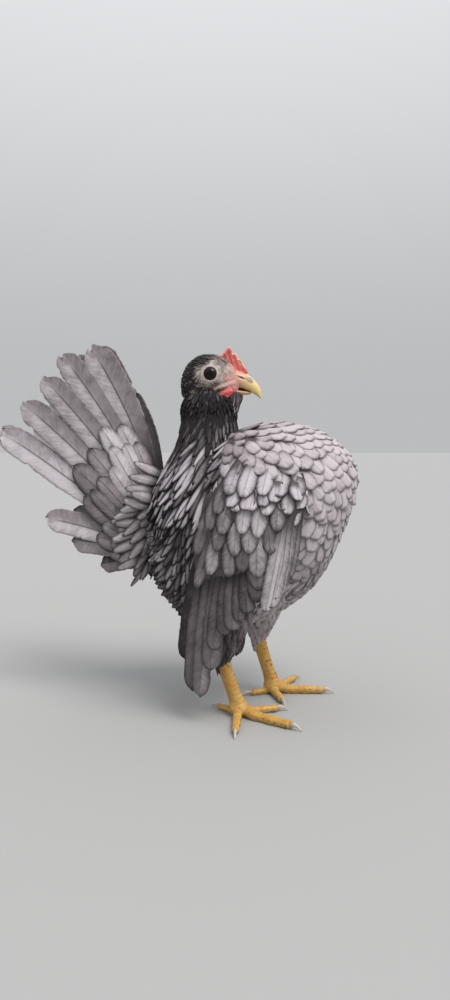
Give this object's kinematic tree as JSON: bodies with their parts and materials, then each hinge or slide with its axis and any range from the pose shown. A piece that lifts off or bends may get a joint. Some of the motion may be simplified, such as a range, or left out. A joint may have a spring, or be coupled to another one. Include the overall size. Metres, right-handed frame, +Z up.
{
  "type": "serama chicken",
  "caption": "Still, life-size model of a small bantam hen standing upright with a high breast, hanging wings and a raised fan tail",
  "frame": {"origin": "middle of the floor area under the bird's overall box, on the floor", "axes": "+X forward to the beak, +Y to the bird's left, +Z up"},
  "size_m": [0.187, 0.0963, 0.1882],
  "materials": {
    "plumage": "laced grey feathers, matte",
    "hackle": "dark slate feathers, matte",
    "face": "short dark feathers over bare pinkish-grey skin",
    "horn": "yellow horn, semi-gloss",
    "comb": "soft pinkish-red skin",
    "eye": "wet and glossy",
    "scale": "yellow scaled skin",
    "nail": "pale horn"
  },
  "bodies": {
    "root": {"torso": "plumage", "neck": "hackle", "head": "face", "beak_upper": "horn", "beak_lower": "horn", "comb": "comb", "wattle_right": "comb", "wattle_left": "comb", "eye_right": "eye", "eye_left": "eye", "wing_right": "plumage", "wing_left": "plumage", "tail": "plumage", "thigh_right": "hackle", "thigh_left": "hackle", "shank_right": "scale", "shank_left": "scale", "foot_right": "scale", "foot_left": "scale", "claw_inner_right": "nail", "claw_middle_right": "nail", "claw_outer_right": "nail", "claw_hind_right": "nail", "claw_inner_left": "nail", "claw_middle_left": "nail", "claw_outer_left": "nail", "claw_hind_left": "nail"}
  },
  "joints": []
}
